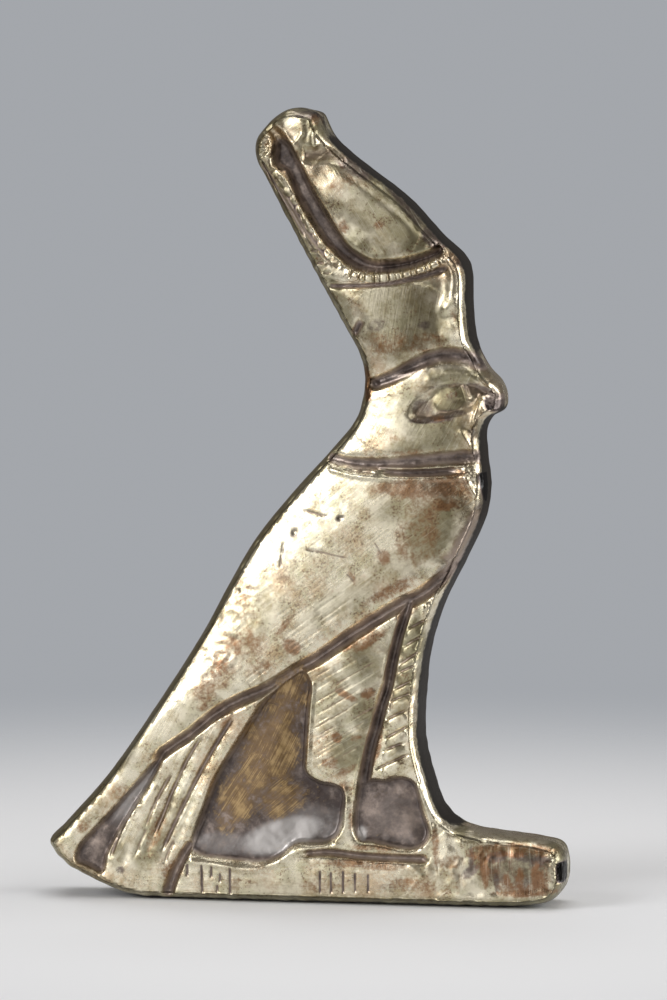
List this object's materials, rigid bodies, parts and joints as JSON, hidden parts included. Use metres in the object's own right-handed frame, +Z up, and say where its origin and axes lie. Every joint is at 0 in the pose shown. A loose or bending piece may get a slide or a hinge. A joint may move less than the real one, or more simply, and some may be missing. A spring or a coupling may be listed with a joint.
{
  "type": "falcon amulet",
  "caption": "Small hollow figure of a standing falcon in a tall double crown, pressed in pale gold sheet, on its own flat base; it stands by its own weight",
  "frame": {"origin": "middle of the box on the flat underside, on the surface that the amulet stands on", "axes": "+Z up from the underside to the crown; +X towards the beak and the base's free end; the pressed front faces -Y"},
  "size_m": [0.0368, 0.006, 0.0556],
  "materials": {
    "gold_sheet": "worn pale gold sheet, polished high places, dark purple-brown tarnish in the recesses, reddish stains"
  },
  "bodies": {
    "root": {"falcon_amulet": "gold_sheet"}
  },
  "joints": []
}
